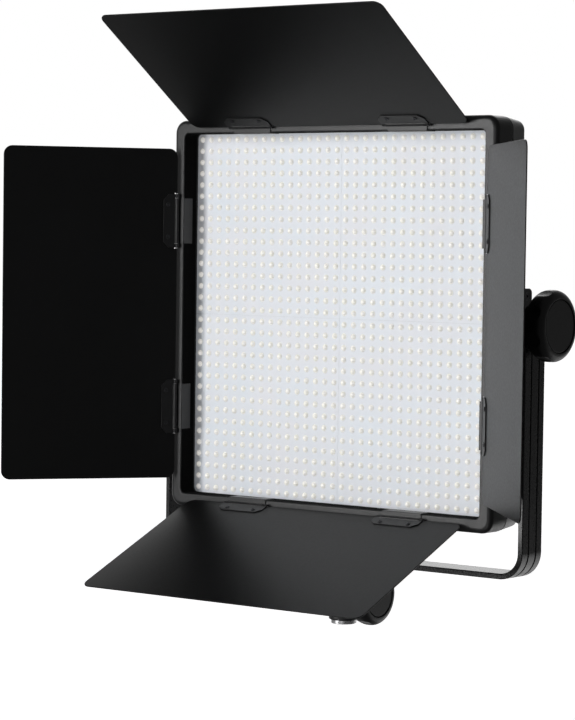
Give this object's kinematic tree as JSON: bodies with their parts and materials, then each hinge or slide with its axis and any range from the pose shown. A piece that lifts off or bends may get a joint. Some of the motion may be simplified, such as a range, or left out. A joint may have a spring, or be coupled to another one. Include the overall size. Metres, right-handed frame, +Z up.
{
  "type": "led panel light",
  "caption": "Square studio panel light: flat array of small lamps behind a deep bezel, four barn-door flaps on hinges, and a U-shaped tilting yoke with clamping knobs on a stand socket.",
  "frame": {"origin": "mouth of the stand socket, on the socket axis, under the middle of the yoke and of the head", "axes": "+Z up along the stand socket, the light shines towards -Y, +X is the side of the stand lock knob"},
  "size_m": [0.6117, 0.2389, 0.5971],
  "materials": {
    "housing_black": "satin",
    "yoke_black": "satin",
    "adapter_black": "satin",
    "knob_black": "satin",
    "knob_cover_black": "satin",
    "leaf_black": "matte",
    "hinge_black": "satin",
    "steel": "satin",
    "black_steel": "satin",
    "socket_steel": "polished",
    "brass": "satin",
    "rubber": "matte",
    "board_white": "satin",
    "lens_white": "gloss",
    "aluminium": "satin",
    "board_green": "satin",
    "display": "gloss",
    "button_grey": "satin",
    "release_red": "satin",
    "contact_black": "satin"
  },
  "bodies": {
    "yoke": {"yoke": "yoke_black", "friction_washers": "rubber", "stand_adapter": "adapter_black", "socket_liner": "socket_steel", "adapter_bolt": "black_steel"},
    "head": {"battery_contacts": "contact_black", "battery_plate": "housing_black", "battery_screws": "black_steel", "case_screws": "black_steel", "control_board": "board_green", "control_panel": "housing_black", "display_frame": "housing_black", "display_glass": "display", "driver_board": "board_green", "front_bezel": "housing_black", "heat_spreader": "aluminium", "hinge_pins": "steel", "hinge_straps": "hinge_black", "led_boards": "board_white", "led_lens_sheets": "lens_white", "pad_screws": "black_steel", "panel_screws": "black_steel", "pivot_inserts": "brass", "pivot_pads": "housing_black", "power_inlet": "housing_black", "rear_shell": "housing_black", "rocker_frame": "housing_black"},
    "tilt_knob_right": {"tilt_knob_right": "knob_black", "tilt_knob_right_cover": "knob_cover_black", "tilt_knob_right_spindle": "steel"},
    "tilt_knob_left": {"tilt_knob_left": "knob_black", "tilt_knob_left_cover": "knob_cover_black", "tilt_knob_left_spindle": "steel"},
    "lock_knob": {"lock_knob": "knob_black", "lock_knob_cover": "knob_cover_black", "lock_knob_spindle": "steel"},
    "tilt_washer_right": {"tilt_knob_right_washer": "steel"},
    "tilt_washer_left": {"tilt_knob_left_washer": "steel"},
    "lock_washer": {"lock_knob_washer": "steel"},
    "brightness_dial": {"brightness_dial": "knob_black"},
    "channel_dial": {"channel_dial": "knob_black"},
    "button_a": {"button_a": "button_grey"},
    "button_b": {"button_b": "button_grey"},
    "button_c": {"button_c": "button_grey"},
    "button_d": {"button_d": "button_grey"},
    "power_rocker": {"power_rocker": "release_red"},
    "battery_release": {"battery_release": "release_red"},
    "battery_latch": {"battery_latch": "contact_black"},
    "leaf_top": {"leaf_top": "leaf_black", "hinge_plates_top": "hinge_black", "leaf_screws_top": "black_steel"},
    "leaf_bottom": {"leaf_bottom": "leaf_black", "hinge_plates_bottom": "hinge_black", "leaf_screws_bottom": "black_steel"},
    "leaf_left": {"leaf_left": "leaf_black", "hinge_plates_left": "hinge_black", "leaf_screws_left": "black_steel"},
    "leaf_right": {"leaf_right": "leaf_black", "hinge_plates_right": "hinge_black", "leaf_screws_right": "black_steel"}
  },
  "joints": [
    {"name": "head_tilt", "type": "hinge", "parent": "yoke", "child": "head", "pos_m": [0, 0, 0.304], "axis": [-1, 0, 0], "range_deg": [-15, 90]},
    {"name": "leaf_top_hinge", "type": "hinge", "parent": "head", "child": "leaf_top", "pos_m": [0, -0.04, 0.494], "axis": [-1, 0, 0], "range_deg": [-124.8, 70.2]},
    {"name": "leaf_bottom_hinge", "type": "hinge", "parent": "head", "child": "leaf_bottom", "pos_m": [0, -0.04, 0.114], "axis": [1, 0, 0], "range_deg": [-113.8, 66.2]},
    {"name": "leaf_left_hinge", "type": "hinge", "parent": "head", "child": "leaf_left", "pos_m": [-0.19, -0.04, 0.304], "axis": [0, 0, -1], "range_deg": [-118.8, 54.2]},
    {"name": "leaf_right_hinge", "type": "hinge", "parent": "head", "child": "leaf_right", "pos_m": [0.19, -0.04, 0.304], "axis": [0, 0, 1], "range_deg": [-127.3, 45.7]},
    {"name": "tilt_washer_right_slide", "type": "slide", "parent": "yoke", "child": "tilt_washer_right", "axis": [1, 0, 0], "range_m": [0, 0.00127]},
    {"name": "tilt_knob_right_turn", "type": "hinge", "parent": "tilt_washer_right", "child": "tilt_knob_right", "pos_m": [0.24, 0, 0.304], "axis": [1, 0, 0], "range_deg": [0, 360]},
    {"name": "tilt_washer_left_slide", "type": "slide", "parent": "yoke", "child": "tilt_washer_left", "axis": [-1, 0, 0], "range_m": [0, 0.00127]},
    {"name": "tilt_knob_left_turn", "type": "hinge", "parent": "tilt_washer_left", "child": "tilt_knob_left", "pos_m": [-0.24, 0, 0.304], "axis": [-1, 0, 0], "range_deg": [0, 360]},
    {"name": "lock_washer_slide", "type": "slide", "parent": "yoke", "child": "lock_washer", "axis": [1, 0, 0], "range_m": [0, 0.00252]},
    {"name": "lock_knob_turn", "type": "hinge", "parent": "lock_washer", "child": "lock_knob", "pos_m": [0.035, 0, 0.0313], "axis": [1, 0, 0], "range_deg": [0, 720]},
    {"name": "brightness_dial_turn", "type": "hinge", "parent": "head", "child": "brightness_dial", "pos_m": [-0.006, 0.026, 0.206], "axis": [0, 1, 0], "range_deg": [-150, 150]},
    {"name": "channel_dial_turn", "type": "hinge", "parent": "head", "child": "channel_dial", "pos_m": [-0.006, 0.026, 0.166], "axis": [0, 1, 0], "continuous": true},
    {"name": "button_a_press", "type": "slide", "parent": "head", "child": "button_a", "axis": [0, -1, 0], "range_m": [0, 0.001], "stiffness_N_per_m": 600, "springref_m": -0.001},
    {"name": "button_b_press", "type": "slide", "parent": "head", "child": "button_b", "axis": [0, -1, 0], "range_m": [0, 0.001], "stiffness_N_per_m": 600, "springref_m": -0.001},
    {"name": "button_c_press", "type": "slide", "parent": "head", "child": "button_c", "axis": [0, -1, 0], "range_m": [0, 0.001], "stiffness_N_per_m": 600, "springref_m": -0.001},
    {"name": "button_d_press", "type": "slide", "parent": "head", "child": "button_d", "axis": [0, -1, 0], "range_m": [0, 0.001], "stiffness_N_per_m": 600, "springref_m": -0.001},
    {"name": "power_rocker_tip", "type": "hinge", "parent": "head", "child": "power_rocker", "pos_m": [-0.046, 0.017, 0.206], "axis": [0, 0, 1], "range_deg": [-16, 0]},
    {"name": "battery_release_press", "type": "slide", "parent": "head", "child": "battery_release", "axis": [-1, 0, 0], "range_m": [0, 0.003], "stiffness_N_per_m": 800, "springref_m": -0.001},
    {"name": "battery_latch_draw", "type": "slide", "parent": "head", "child": "battery_latch", "axis": [0, -1, 0], "range_m": [0, 0.003]}
  ],
  "couplings": [
    {"joint": "tilt_washer_right_slide", "follows": "tilt_knob_right_turn", "m_per_rad": 0.00019894},
    {"joint": "tilt_washer_left_slide", "follows": "tilt_knob_left_turn", "m_per_rad": 0.00019894},
    {"joint": "lock_washer_slide", "follows": "lock_knob_turn", "m_per_rad": 0.00019894},
    {"joint": "battery_latch_draw", "follows": "battery_release_press", "ratio": 1}
  ]
}
